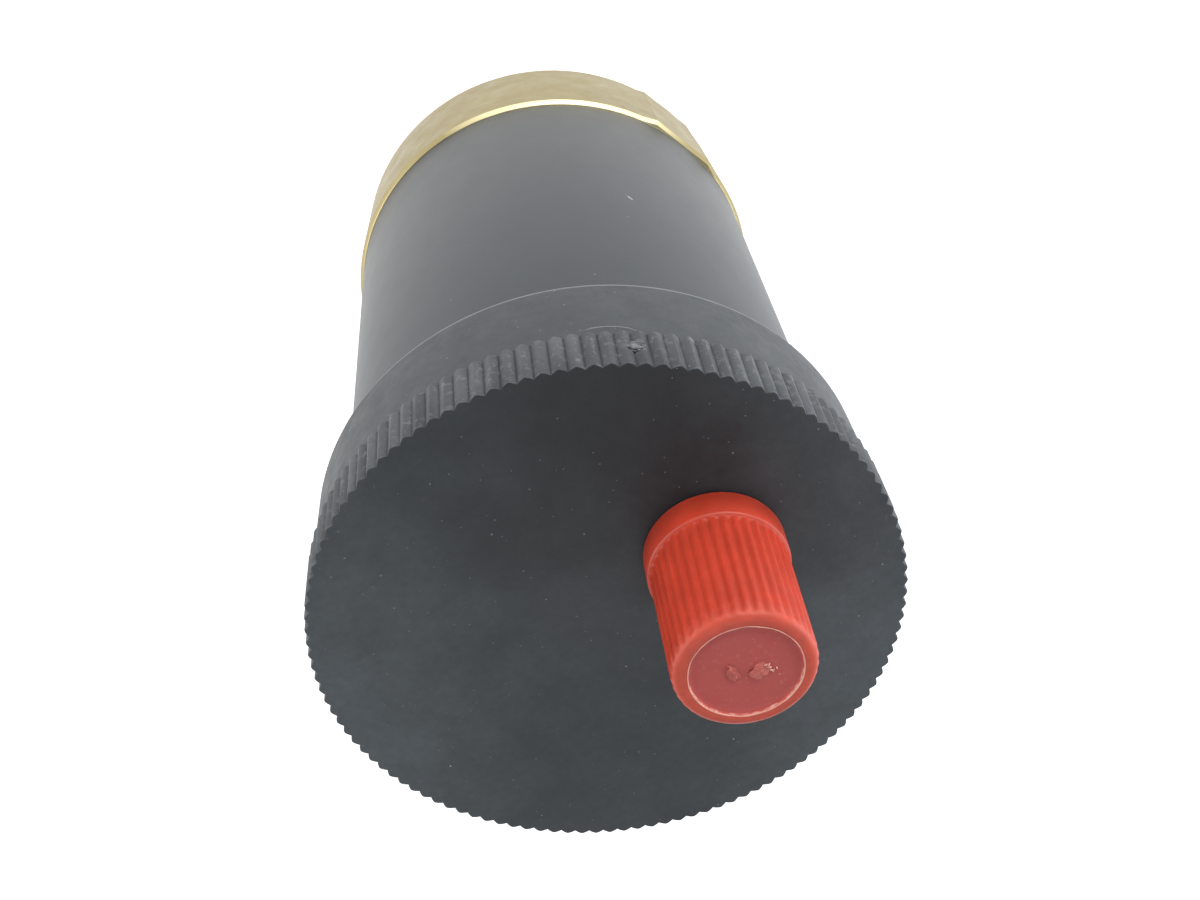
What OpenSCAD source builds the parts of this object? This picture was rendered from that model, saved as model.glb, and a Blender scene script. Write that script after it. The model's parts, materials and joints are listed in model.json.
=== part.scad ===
// Automatic air release valve for a heating or water pipe, in millimetres.
// A float hangs on a lever inside the housing. When air collects, the float sinks, the lever swings
// down and its rubber pad leaves the seat, so that air escapes through the nipple under the vent cap.
// The spigot points down along -Z, its lower end is at Z = 0, and +X points from the axis to the vent.
// The valve is drawn empty of water: the float is down and the vent stands open.

/* [Base fitting] */
// Major diameter of the 3/8 inch pipe thread on the spigot
spigot_d = 16.66; // [16.2:0.02:17]
// Length of the spigot below the collar
spigot_h = 10.5; // [9:0.1:13]
// Clear bore through the spigot
inlet_d = 12; // [10:0.1:12.4]
// Largest diameter of the brass collar, under its top edge
collar_d = 41.8; // [41.6:0.1:44]
// Height of the brass collar
collar_h = 11.2; // [9:0.1:14]
// How much the collar's radius shrinks towards its foot
collar_draft = 0.7; // [0.4:0.05:1.2]
// Width across the two wrench flats, half way up the collar
flats_w = 41; // [40.8:0.1:41.4]
// Width of each flat, half way up the collar
flat_face_w = 7; // [6:0.1:9]
// Draft of the wrench flats, in degrees
flats_draft = 4.2; // [3.5:0.1:5]
// Turn of the wrench flats about the valve's axis, in degrees
flats_turn = 9; // [0:1:90]

/* [Housing] */
// Diameter of the housing where it meets the collar
housing_foot_d = 41.1; // [40:0.1:41.4]
// Diameter of the housing where it enters the cover
housing_top_d = 41.8; // [41.4:0.1:42]
// Bore of the housing
housing_bore = 36.8; // [36.4:0.1:37.2]
// Height of housing that shows between the collar and the cover
housing_h = 43.5; // [43.5:0.5:60]

/* [Cover] */
// Diameter over the knurled ridges
cover_d = 47; // [46.6:0.1:50]
// Height of the cover from its rear edge to its face
cover_h = 12.8; // [12.8:0.1:15]
// Diameter of the cover at its rear edge
cover_edge_d = 45.6; // [45.4:0.1:46.4]
// Height of the knurled band
knurl_h = 4.7; // [3:0.1:6]
// Depth of the knurl
knurl_depth = 0.3; // [0.2:0.05:0.6]
// Number of ridges round the cover
knurl_ridges = 120; // [60:10:140]
// Thickness of the cover's end plate
plate_t = 3.5; // [3.5:0.1:4.5]

/* [Vent cap] */
// Distance of the vent from the valve's axis
vent_offset = 10.3; // [10:0.1:10.6]
// Diameter of the cap's plain collar
vent_cap_d = 10.9; // [10.7:0.1:11.6]
// Diameter of the cap at its tip
vent_cap_tip_d = 10.35; // [10:0.05:10.6]
// Height of the cap
vent_cap_h = 13.8; // [12.5:0.1:16]
// Height of the plain collar
vent_cap_collar_h = 2.7; // [2:0.1:4]
// Number of grip flutes round the cap
vent_cap_flutes = 40; // [20:1:40]
// Diameter of the sunk disc in the cap's end
vent_cap_disc_d = 8; // [6:0.1:8.4]

/* [Float and lever] */
// Diameter of the float
float_d = 31.6; // [28:0.2:32]
// Lift of the float from the open to the closed vent
float_lift = 5; // [4.4:0.1:5]
// Distance of the lever's pivot from the valve's axis
pivot_offset = 14.5; // [14.4:0.05:14.6]
// Diameter of the lever's pivot pin
pivot_pin_d = 2; // [1.8:0.1:2]
// Diameter of the crossbar that the float hangs by
float_pin_d = 1.6; // [1.4:0.1:1.6]

/* [Hidden] */
$fn = 96;

// Heights of the main faces above the spigot's end
ledge_z = spigot_h + collar_h;
cover_edge_z = ledge_z + housing_h;
face_z = cover_edge_z + cover_h;
under_z = face_z - plate_t;
gasket_t = 1.6;
rim_z = under_z - gasket_t;
knurl_z = face_z - knurl_h;

// Radii that several pieces share
spigot_r = spigot_d / 2;
collar_r = collar_d / 2;
bore_r = housing_bore / 2;
neck_r = bore_r - 0.05;
tip_r = cover_d / 2;
root_r = tip_r - knurl_depth;
ridge_r = tip_r - 0.04;
thread_r = housing_top_d / 2 - 0.9;
thread_bore_r = thread_r + 0.35;
mouth_r = housing_top_d / 2 + 0.35;

// Base neck that the housing is screwed on, with its sealing groove
neck_h = 8;
neck_wall = 2.6;
groove_r = neck_r - 1.45;
groove_z = ledge_z + 1.6;
groove_w = 2;
ring_r = 0.72;

// Nipple that the vent cap is screwed on
nipple_r = 3.6;
nipple_h = 8;
passage_r = 1.25;
cap_gap = 0.1;
cap_bore_r = nipple_r + 0.35;
cap_z = face_z + cap_gap;
seal_t = 0.9;
seal_z = face_z + nipple_h;

// Seat that the lever's pad closes
seat_bore_r = 2.6;
seat_flange_r = 3.3;
frame_t = 0.8;
seat_z = under_z - frame_t;
nozzle_h = 1.4;
nozzle_z = seat_z - nozzle_h;
orifice_r = 0.75;

// Lever, drawn with its pivot at the origin and its arm along -X, then swung down to the open vent
lever_t = 2.4;
pad_gap = 0.04;
pad_rise = 0.36;
pivot_z = nozzle_z - pad_gap - pad_rise - lever_t / 2;
open_angle = atan(float_lift / pivot_offset);
pin_r = pivot_pin_d / 2;
pin_play = 0.05;
pad_arm = pivot_offset - vent_offset;
pad_r = 2.2;
pad_boss_r = 3.1;
eye_r = 2;
eye_w = 3;
slot_play = 0.2;
slot_near = pivot_offset - 0.1;
slot_far = pivot_offset / cos(open_angle) + 0.1;
knuckle_w = 3.2;

// Float, hung by its crossbar from the lever's eye
float_r = float_d / 2;
float_wall = 1;
float_pin_r = float_pin_d / 2;
float_pin_z = pivot_z - float_lift;
float_top_z = float_pin_z - 3.1;
float_low_z = ledge_z + neck_h + 1.3;
float_flange_t = 0.8;
ear_gap = 3.8;
ear_t = 1.4;

// Frame that carries the lever's pin under the cover
frame_ear_gap = 6.8;
frame_ear_r = 1.9;
screw_y = 7.6;
screw_r = 1.1;
screw_depth = 2.6;

// A ring or disc between two radii, from height z upwards
module ring(outer, inner, z, h) {
    translate([0, 0, z])
    difference() {
        cylinder(r = outer, h = h);
        translate([0, 0, -1]) cylinder(r = inner, h = h + 2);
    }
}

// A round bar along Y, centred on the XZ plane
module cross_bar(r, w) {
    rotate([90, 0, 0]) cylinder(r = r, h = w, center = true);
}

// An O-ring about the Z axis
module o_ring(mean_r, section_r, z) {
    translate([0, 0, z])
    rotate_extrude()
    translate([mean_r, 0]) circle(r = section_r, $fn = 32);
}

// Moves a lever piece from the closed pose at the origin to its place at the open vent
module on_pivot() {
    translate([pivot_offset, 0, pivot_z])
    rotate([0, -open_angle, 0])
    children();
}

// One wrench flat: a shallow lug on the collar, drafted on its face and on both sides
module wrench_lug() {
    mid_z = spigot_h + collar_h / 2;
    step = 0.2;
    deep = 2.5;
    intersection() {
        translate([flats_w / 2 - deep, -collar_r, spigot_h + step])
        cube([2 * deep, collar_d, collar_h - 2 * step]);
        translate([flats_w / 2, 0, mid_z])
        rotate([0, flats_draft, 0])
        translate([-collar_r, -collar_r, -collar_h])
        cube([collar_r, collar_d, 2 * collar_h]);
        translate([0, flat_face_w / 2, mid_z])
        rotate([-flats_draft, 0, 0])
        translate([0, -collar_r, -collar_h])
        cube([collar_d, collar_r, 2 * collar_h]);
        translate([0, -flat_face_w / 2, mid_z])
        rotate([flats_draft, 0, 0])
        translate([0, 0, -collar_h])
        cube([collar_d, collar_r, 2 * collar_h]);
    }
}

// Brass foot: threaded spigot, forged collar with two wrench flats, and the neck inside the housing
module base_fitting() {
    foot_r = collar_r - collar_draft;
    edge = 0.6;
    bevel_w = collar_r - housing_foot_d / 2 - 0.05;
    bevel_h = 0.5;
    recess_w = 0.9;
    recess_h = 0.6;
    lead = 1;
    cup_r = neck_r - neck_wall;
    cup_z = ledge_z - 4;
    funnel_z = spigot_h + 3;
    color("darkkhaki")
    union() {
        rotate_extrude()
        polygon([
            [inlet_d / 2, 0],
            [spigot_r - lead, 0],
            [spigot_r, lead],
            [spigot_r, spigot_h + recess_h],
            [spigot_r + recess_w, spigot_h + recess_h],
            [spigot_r + recess_w, spigot_h],
            [foot_r - edge, spigot_h],
            [foot_r, spigot_h + edge],
            [collar_r, ledge_z - bevel_h],
            [collar_r - bevel_w, ledge_z],
            [neck_r, ledge_z],
            [neck_r, groove_z],
            [groove_r, groove_z],
            [groove_r, groove_z + groove_w],
            [neck_r, groove_z + groove_w],
            [neck_r, ledge_z + neck_h - edge],
            [neck_r - edge, ledge_z + neck_h],
            [cup_r, ledge_z + neck_h],
            [cup_r, cup_z],
            [inlet_d / 2, funnel_z]
        ]);
        for (side = [0, 180])
            rotate([0, 0, flats_turn + side])
            wrench_lug();
    }
}

// Rubber ring that seals the neck in the housing
module base_o_ring() {
    color("#222222")
    o_ring(groove_r + 0.03 + ring_r, ring_r, groove_z + groove_w / 2);
}

// Moulded tube that holds the water and the float, with the screw neck for the cover on top
module housing() {
    shoulder_z = cover_edge_z + 0.6;
    edge = 0.4;
    color("dimgray")
    rotate_extrude()
    polygon([
        [bore_r + edge, ledge_z],
        [housing_foot_d / 2, ledge_z],
        [housing_top_d / 2, shoulder_z],
        [thread_r, shoulder_z + 0.4],
        [thread_r, rim_z - edge],
        [thread_r - edge, rim_z],
        [bore_r, rim_z],
        [bore_r, ledge_z + edge]
    ]);
}

// One ridge of the knurl: a sharp valley, then a rounded back
function knurl_point(i) =
    let (
        part = i % 4,
        rise = [0, 0.78, 1, 0.78][part],
        turn = (floor(i / 4) + [0, 0.22, 0.5, 0.78][part]) * 360 / knurl_ridges
    )
    (root_r + (ridge_r - root_r) * rise) * [cos(turn), sin(turn)];

// Screw cover: knurled end plate, plain tapered skirt and the nipple of the vent
module cover() {
    sunk = 0.2;
    edge = 0.25;
    color("#2b2c2e")
    difference() {
        union() {
            rotate_extrude()
            polygon([
                [0, cover_edge_z],
                [cover_edge_d / 2 - edge, cover_edge_z],
                [cover_edge_d / 2, cover_edge_z + edge],
                [tip_r, knurl_z],
                [0, knurl_z]
            ]);
            translate([0, 0, knurl_z - sunk])
            linear_extrude(knurl_h + sunk)
            polygon([for (i = [0 : knurl_ridges * 4 - 1]) knurl_point(i)]);
            translate([vent_offset, 0, face_z]) nipple();
        }
        cover_hollow();
        translate([vent_offset, 0, under_z]) vent_passage();
        for (side = [-1, 1])
            translate([vent_offset, side * screw_y, under_z - 1])
            cylinder(r = screw_r, h = 1 + screw_depth);
    }
}

// Space inside the cover: its screw bore, and the wider mouth that clears the housing's shoulder
module cover_hollow() {
    step_z = cover_edge_z + 1.4;
    rotate_extrude()
    polygon([
        [0, cover_edge_z - 1],
        [mouth_r, cover_edge_z - 1],
        [mouth_r, step_z],
        [thread_bore_r, step_z + mouth_r - thread_bore_r],
        [thread_bore_r, under_z],
        [0, under_z]
    ]);
}

// Way of the air through the plate and the nipple, with the bore for the nozzle and the side slot
module vent_passage() {
    slot_w = 1;
    slot_floor = 2.4;
    nozzle_depth = 2.5;
    translate([0, 0, -1]) cylinder(r = seat_bore_r, h = 1 + nozzle_depth);
    cylinder(r = passage_r, h = plate_t + nipple_h + 1);
    translate([slot_floor, -slot_w / 2, plate_t + 1]) cube([nipple_r, slot_w, nipple_h]);
}

// Round stub with a chamfered end, sunk a little into the plate
module nipple() {
    edge = 0.6;
    sunk = 0.5;
    rotate_extrude()
    polygon([
        [0, -sunk],
        [nipple_r, -sunk],
        [nipple_r, nipple_h - edge],
        [nipple_r - edge, nipple_h],
        [0, nipple_h]
    ]);
}

// Flat ring between the housing's rim and the cover
module cover_gasket() {
    color("#262626")
    ring(thread_r - 0.1, bore_r + 0.2, rim_z, gasket_t);
}

// Nozzle pressed into the cover, with the orifice that the pad closes
module valve_seat() {
    groove_low = under_z + 0.7;
    groove_high = groove_low + 1;
    shank_r = seat_bore_r - 0.03;
    color("gold")
    translate([vent_offset, 0, 0])
    rotate_extrude()
    polygon([
        [orifice_r, nozzle_z],
        [1.3, nozzle_z],
        [2.2, seat_z],
        [seat_flange_r, seat_z],
        [seat_flange_r, under_z],
        [shank_r, under_z],
        [shank_r, groove_low],
        [shank_r - 0.84, groove_low],
        [shank_r - 0.84, groove_high],
        [shank_r, groove_high],
        [shank_r, under_z + 2.3],
        [orifice_r, under_z + 2.3]
    ]);
}

// Small ring that seals the nozzle in the cover
module seat_o_ring() {
    section_r = 0.4;
    color("#222222")
    translate([vent_offset, 0, 0])
    o_ring(seat_bore_r - 0.02 - section_r, section_r, under_z + 1.2);
}

// Stamped steel frame: a plate round the seat, with two ears bent down to hold the lever's pin
module pivot_frame() {
    plate_r = 5.2;
    lug_r = 2.7;
    ear_y = frame_ear_gap / 2;
    color("silver") {
        translate([0, 0, seat_z])
        linear_extrude(frame_t)
        difference() {
            union() {
                translate([vent_offset, 0]) circle(r = plate_r);
                translate([vent_offset - lug_r, -screw_y]) square([2 * lug_r, 2 * screw_y]);
                for (side = [-1, 1])
                    translate([vent_offset, side * screw_y]) circle(r = lug_r);
                translate([vent_offset, -ear_y - frame_t])
                square([pad_arm + frame_ear_r, 2 * (ear_y + frame_t)]);
            }
            translate([vent_offset, 0]) circle(r = seat_flange_r + 0.3);
            for (side = [-1, 1])
                translate([vent_offset, side * screw_y]) circle(r = screw_r + 0.2);
        }
        for (side = [-1, 1])
            translate([pivot_offset, side * (ear_y + frame_t / 2), pivot_z])
            frame_ear();
    }
}

// One ear of the frame, about its pin hole
module frame_ear() {
    difference() {
        union() {
            cross_bar(frame_ear_r, frame_t);
            translate([-frame_ear_r, -frame_t / 2, 0])
            cube([2 * frame_ear_r, frame_t, seat_z + frame_t / 2 - pivot_z]);
        }
        cross_bar(pin_r + pin_play, frame_t + 1);
    }
}

// Two pan-head screws that hold the frame to the cover
module frame_screws() {
    head_r = 2;
    head_h = 1.3;
    color("lightgray")
    for (side = [-1, 1])
        translate([vent_offset, side * screw_y, seat_z])
        rotate_extrude()
        polygon([
            [0, -head_h],
            [head_r - 0.5, -head_h],
            [head_r, 0.5 - head_h],
            [head_r, 0],
            [screw_r - 0.02, 0],
            [screw_r - 0.02, frame_t + screw_depth - 0.6],
            [0, frame_t + screw_depth - 0.1]
        ]);
}

// Headed steel pin that the lever swings on
module lever_pin() {
    head_y = frame_ear_gap / 2 + frame_t;
    clip_y = head_y + 0.05;
    end_y = head_y + 1.4;
    color("gainsboro")
    translate([pivot_offset, 0, pivot_z])
    rotate([-90, 0, 0])
    rotate_extrude()
    polygon([
        [0, -head_y - 0.8],
        [pin_r + 0.5, -head_y - 0.8],
        [pin_r + 0.8, -head_y - 0.5],
        [pin_r + 0.8, -head_y],
        [pin_r, -head_y],
        [pin_r, clip_y],
        [pin_r - 0.2, clip_y],
        [pin_r - 0.2, clip_y + 0.6],
        [pin_r, clip_y + 0.6],
        [pin_r, end_y - 0.3],
        [pin_r - 0.3, end_y],
        [0, end_y]
    ]);
}

// Snap ring in the groove at the pin's end
module pin_clip() {
    clip_r = pin_r + 1.1;
    hole_r = pin_r - 0.18;
    color("gray")
    translate([pivot_offset, frame_ear_gap / 2 + frame_t + 0.6, pivot_z])
    rotate([90, 0, 0])
    linear_extrude(0.5)
    difference() {
        circle(r = clip_r);
        circle(r = hole_r);
        translate([-hole_r * 0.8, 0]) square([hole_r * 1.6, clip_r + 1]);
    }
}

// Path of the spring's wire about the pivot: an arm on the lever, the coil, an arm to the frame
spring_wire_r = 0.17;
spring_r = lever_t / 2 + spring_wire_r + 0.02;
spring_turns = 2.75;
spring_steps = 44;
spring_pitch = 0.38;
spring_y = 2.1;
spring_arm = 3.2;
function spring_on_lever(reach) =
    [-reach * cos(open_angle) - spring_r * sin(open_angle), spring_y,
        -reach * sin(open_angle) + spring_r * cos(open_angle)];
function spring_coil(i) =
    let (
        share = i / spring_steps,
        turn = 90 + open_angle - share * (spring_turns * 360 + open_angle)
    )
    [spring_r * cos(turn), spring_y + share * spring_turns * spring_pitch, spring_r * sin(turn)];
spring_path = concat(
    [spring_on_lever(spring_arm), spring_on_lever(spring_arm / 2)],
    [for (i = [0 : spring_steps]) spring_coil(i)],
    [for (rise = [1, seat_z - pivot_z - 0.1]) spring_coil(spring_steps) + [0, 0, rise]]
);
function unit(v) = v / norm(v);
function path_tangent(path, i) =
    unit(path[min(i + 1, len(path) - 1)] - path[max(i - 1, 0)]);

// Round wire along a path that never runs along Y
module wire(path, r, sides = 8) {
    count = len(path);
    points = [
        for (i = [0 : count - 1])
            let (
                along = path_tangent(path, i),
                out = unit(cross(along, [0, 1, 0])),
                up = cross(along, out)
            )
            for (k = [0 : sides - 1])
                path[i] + r * (out * cos(360 * k / sides) + up * sin(360 * k / sides))
    ];
    sides_faces = [
        for (i = [0 : count - 2])
            for (k = [0 : sides - 1])
                [i * sides + k, (i + 1) * sides + k,
                    (i + 1) * sides + (k + 1) % sides, i * sides + (k + 1) % sides]
    ];
    ends = [
        [for (k = [0 : sides - 1]) k],
        [for (k = [sides - 1 : -1 : 0]) (count - 1) * sides + k]
    ];
    polyhedron(points, concat(sides_faces, ends));
}

// Torsion spring on the pin that helps the lever to drop
module lever_spring() {
    color("lightsteelblue")
    translate([pivot_offset, 0, pivot_z])
    wire(spring_path, spring_wire_r);
}

// Moulded lever: knuckle on the pin, socket for the pad, ribbed arm and slotted eye for the float
module lever() {
    rib_w = 1;
    rib_h = 1;
    arm_end = slot_near - 1.6;
    color("ivory")
    on_pivot()
    difference() {
        union() {
            cross_bar(eye_r, knuckle_w);
            translate([0, 0, -lever_t / 2])
            linear_extrude(lever_t) {
                translate([-pad_arm, 0]) circle(r = pad_boss_r);
                translate([-pad_arm, -knuckle_w / 2]) square([pad_arm, knuckle_w]);
                polygon([
                    [-pad_arm, -pad_boss_r],
                    [-pad_arm, pad_boss_r],
                    [-arm_end, eye_w / 2],
                    [-slot_far, eye_w / 2],
                    [-slot_far, -eye_w / 2],
                    [-arm_end, -eye_w / 2]
                ]);
            }
            translate([-slot_near, -rib_w / 2, -lever_t / 2 - rib_h])
            cube([slot_near - pad_arm - pad_r, rib_w, rib_h + 1]);
            for (reach = [slot_near, slot_far])
                translate([-reach, 0, 0]) cross_bar(eye_r, eye_w);
            translate([-slot_far, -eye_w / 2, -eye_r])
            cube([slot_far - slot_near, eye_w, 2 * eye_r]);
        }
        cross_bar(pin_r + pin_play, knuckle_w + 1);
        for (reach = [slot_near, slot_far])
            translate([-reach, 0, 0]) cross_bar(float_pin_r + slot_play, eye_w + 1);
        translate([-slot_far, -eye_w, -float_pin_r - slot_play])
        cube([slot_far - slot_near, 2 * eye_w, 2 * (float_pin_r + slot_play)]);
        translate([-pad_arm, 0, lever_t / 2 - 1.6]) cylinder(r = pad_r, h = 3);
        translate([-pad_arm, 0, -lever_t]) cylinder(r = 1, h = 2 * lever_t);
    }
}

// Rubber button that closes the orifice, held by a stem pulled through the lever
module valve_pad() {
    floor_z = lever_t / 2 - 1.6;
    top_z = lever_t / 2 + pad_rise;
    color("#303030")
    on_pivot()
    translate([-pad_arm, 0, 0])
    rotate_extrude()
    polygon([
        [0, -lever_t / 2 - 0.8],
        [0.8, -lever_t / 2 - 0.8],
        [1.4, -lever_t / 2],
        [0.96, -lever_t / 2],
        [0.96, floor_z],
        [pad_r - 0.03, floor_z],
        [pad_r - 0.03, top_z - 0.3],
        [pad_r - 0.3, top_z],
        [0, top_z]
    ]);
}

// Hollow float, open below, with two ears for its crossbar
module float_shell() {
    round_r = 2.2;
    low_z = float_low_z + float_flange_t;
    ear_y = ear_gap / 2 + ear_t / 2;
    color("whitesmoke")
    difference() {
        union() {
            rotate_extrude() {
                square_z = float_top_z - round_r;
                translate([0, low_z]) square([float_r, square_z - low_z]);
                translate([0, low_z]) square([float_r - round_r, float_top_z - low_z]);
                translate([float_r - round_r, square_z])
                intersection() {
                    circle(r = round_r);
                    square(round_r);
                }
            }
            for (side = [-1, 1])
                translate([0, side * ear_y, float_pin_z])
                float_ear();
        }
        translate([0, 0, low_z - 1])
        cylinder(r = float_r - float_wall, h = float_top_z - low_z - float_wall);
        translate([0, 0, float_pin_z]) cross_bar(float_pin_r + 0.02, ear_gap + 2 * ear_t + 1);
    }
}

// One ear on the float's top, about the crossbar's axis
module float_ear() {
    ear_r = 1.6;
    foot = 0.5;
    cross_bar(ear_r, ear_t);
    translate([-ear_r, -ear_t / 2, float_top_z - float_pin_z - foot])
    cube([2 * ear_r, ear_t, float_pin_z - float_top_z + foot]);
}

// Disc welded into the float's lower end
module float_base() {
    plug_h = 1.6;
    plug_r = float_r - float_wall - 0.05;
    color("gainsboro")
    translate([0, 0, float_low_z])
    rotate_extrude()
    polygon([
        [0, 0.4],
        [float_r * 0.6, 0],
        [float_r - 0.4, 0],
        [float_r, 0.4],
        [float_r, float_flange_t],
        [plug_r, float_flange_t],
        [plug_r, float_flange_t + plug_h],
        [0, float_flange_t + plug_h]
    ]);
}

// Crossbar through the float's ears and the lever's eye
module float_pin() {
    color("silver")
    translate([0, 0, float_pin_z])
    cross_bar(float_pin_r, ear_gap + 2 * ear_t + 0.6);
}

// Red screw cap of the vent: plain collar, fluted grip, rounded tip with a sunk disc
module vent_cap() {
    collar_r = vent_cap_d / 2;
    tip_r = vent_cap_tip_d / 2;
    grip_z = vent_cap_collar_h;
    round_r = 0.7;
    grip_r = collar_r - 0.2;
    lean = atan((grip_r - tip_r) / (vent_cap_h - grip_z));
    flute_r = 0.34;
    flute_depth = 0.3;
    sink = 0.25;
    color("#c5442e")
    translate([vent_offset, 0, cap_z])
    difference() {
        rotate_extrude() {
            polygon([
                [0, 0],
                [collar_r - 0.15, 0],
                [collar_r, 0.15],
                [collar_r, grip_z - 0.15],
                [collar_r - 0.15, grip_z],
                [grip_r, grip_z],
                [tip_r, vent_cap_h - round_r],
                [tip_r - round_r, vent_cap_h],
                [0, vent_cap_h]
            ]);
            translate([tip_r - round_r, vent_cap_h - round_r]) circle(r = round_r, $fn = 32);
        }
        for (i = [0 : vent_cap_flutes - 1])
            rotate([0, 0, 360 * i / vent_cap_flutes])
            translate([grip_r + flute_r - flute_depth, 0, grip_z + 0.35])
            rotate([0, -lean, 0])
            cylinder(r = flute_r, h = vent_cap_h - grip_z + 1, $fn = 24);
        translate([0, 0, vent_cap_h - sink]) cylinder(r = vent_cap_disc_d / 2, h = 1);
        translate([0, 0, -1]) cylinder(r = cap_bore_r, h = 1 + nipple_h + seal_t + 0.02 - cap_gap);
    }
}

// Rubber disc in the cap that closes the nipple
module vent_cap_seal() {
    color("#2a2a2a")
    translate([vent_offset, 0, seal_z])
    cylinder(r = nipple_r + 0.15, h = seal_t);
}

base_fitting();
base_o_ring();
housing();
cover();
cover_gasket();
valve_seat();
seat_o_ring();
pivot_frame();
frame_screws();
lever_pin();
pin_clip();
lever_spring();
lever();
valve_pad();
float_shell();
float_base();
float_pin();
vent_cap();
vent_cap_seal();
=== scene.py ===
import json
import math

import bmesh
import bpy
from mathutils import Matrix, Quaternion, Vector, noise


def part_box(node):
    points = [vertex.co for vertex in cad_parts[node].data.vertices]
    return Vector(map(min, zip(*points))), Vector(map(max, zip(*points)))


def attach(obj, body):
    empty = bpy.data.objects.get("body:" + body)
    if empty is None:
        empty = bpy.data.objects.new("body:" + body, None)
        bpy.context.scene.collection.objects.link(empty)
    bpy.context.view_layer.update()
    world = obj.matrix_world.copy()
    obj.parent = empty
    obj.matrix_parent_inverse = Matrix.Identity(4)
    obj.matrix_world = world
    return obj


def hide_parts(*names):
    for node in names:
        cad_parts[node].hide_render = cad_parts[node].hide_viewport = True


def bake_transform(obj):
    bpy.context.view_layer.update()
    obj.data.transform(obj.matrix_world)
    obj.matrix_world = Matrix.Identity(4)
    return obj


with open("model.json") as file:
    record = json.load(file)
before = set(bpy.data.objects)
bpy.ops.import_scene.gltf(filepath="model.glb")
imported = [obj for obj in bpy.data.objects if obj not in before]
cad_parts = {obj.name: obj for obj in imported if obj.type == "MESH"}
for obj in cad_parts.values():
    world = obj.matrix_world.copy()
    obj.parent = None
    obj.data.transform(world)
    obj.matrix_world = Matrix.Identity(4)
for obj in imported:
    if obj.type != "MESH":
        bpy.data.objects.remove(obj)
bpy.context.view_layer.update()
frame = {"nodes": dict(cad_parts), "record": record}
scene = bpy.context.scene
noise.seed_set(71)  # noise_vector then gives the same lumps on every run
print("frame loaded:", len(frame["nodes"]), "nodes")

mm = 0.001  # pieces are modelled in millimetres and scaled when they are finished


def nodeBox(node):
    low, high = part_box(node)
    return low / mm, high / mm


housingLow, housingHigh = nodeBox("housing")
coverLow, coverHigh = nodeBox("cover")
capLow, capHigh = nodeBox("vent_cap")
nippleHeight = 8.0
ledgeZ = housingLow.z
rimZ = housingHigh.z
edgeZ = coverLow.z
faceZ = coverHigh.z - nippleHeight
ventX = (capLow.x + capHigh.x) / 2


# camera

cameraSetup = {
    "place": (43.07, 65.5, 169.23),
    "aim": (9.96, 12.91, 77.96),
    "roll": 169.85,
    "lens": 46.1,
    "sensor": 36.0,
}


def addCamera(setup):
    data = bpy.data.cameras.new("photoCamera")
    data.lens = setup["lens"]
    data.sensor_width = setup["sensor"]
    data.clip_start = 0.005
    camera = bpy.data.objects.new("photoCamera", data)
    place = Vector(setup["place"]) * mm
    toward = Vector(setup["aim"]) * mm - place
    turn = toward.to_track_quat("-Z", "Y") @ Quaternion((0, 0, 1), math.radians(setup["roll"]))
    camera.matrix_world = Matrix.Translation(place) @ turn.to_matrix().to_4x4()
    scene.collection.objects.link(camera)
    scene.camera = camera


addCamera(cameraSetup)
print("camera set")


# shader helpers

def put(tree, kind, wires=None, **settings):
    node = tree.nodes.new("ShaderNode" + kind)
    for name, value in settings.items():
        setattr(node, name, value)
    for name, value in (wires or {}).items():
        if isinstance(value, bpy.types.NodeSocket):
            tree.links.new(value, node.inputs[name])
        else:
            node.inputs[name].default_value = value
    return node


def mathOut(tree, operation, first, second=0.0):
    return put(tree, "Math", {0: first, 1: second}, operation=operation).outputs[0]


def rangeOut(tree, value, fromLow, fromHigh, toLow=0.0, toHigh=1.0):
    wires = {"Value": value, "From Min": fromLow, "From Max": fromHigh, "To Min": toLow, "To Max": toHigh}
    return put(tree, "MapRange", wires, clamp=True).outputs["Result"]


def mixOut(tree, factor, first, second):
    # colour mix: sockets 6 and 7 are the colour A and B of the Mix node
    node = put(tree, "Mix", {0: factor, 6: first, 7: second}, data_type="RGBA")
    return node.outputs[2]


def bandOut(tree, value, low, high, soft):
    rise = rangeOut(tree, value, low - soft, low + soft)
    fall = rangeOut(tree, value, high - soft, high + soft, 1.0, 0.0)
    return mathOut(tree, "MULTIPLY", rise, fall)


def newGroup(name, inputs, outputs):
    tree = bpy.data.node_groups.new(name, "ShaderNodeTree")
    for label, kind, value in inputs:
        socket = tree.interface.new_socket(label, in_out="INPUT", socket_type=kind)
        if value is not None:
            socket.default_value = value
    for label in outputs:
        tree.interface.new_socket(label, in_out="OUTPUT", socket_type="NodeSocketFloat")
    return tree, tree.nodes.new("NodeGroupInput").outputs, tree.nodes.new("NodeGroupOutput").inputs


def useGroup(tree, group, wires):
    node = tree.nodes.new("ShaderNodeGroup")
    node.node_tree = group
    for name, value in wires.items():
        if isinstance(value, bpy.types.NodeSocket):
            tree.links.new(value, node.inputs[name])
        else:
            node.inputs[name].default_value = value
    return node.outputs


# effects that several finishes share

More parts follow.
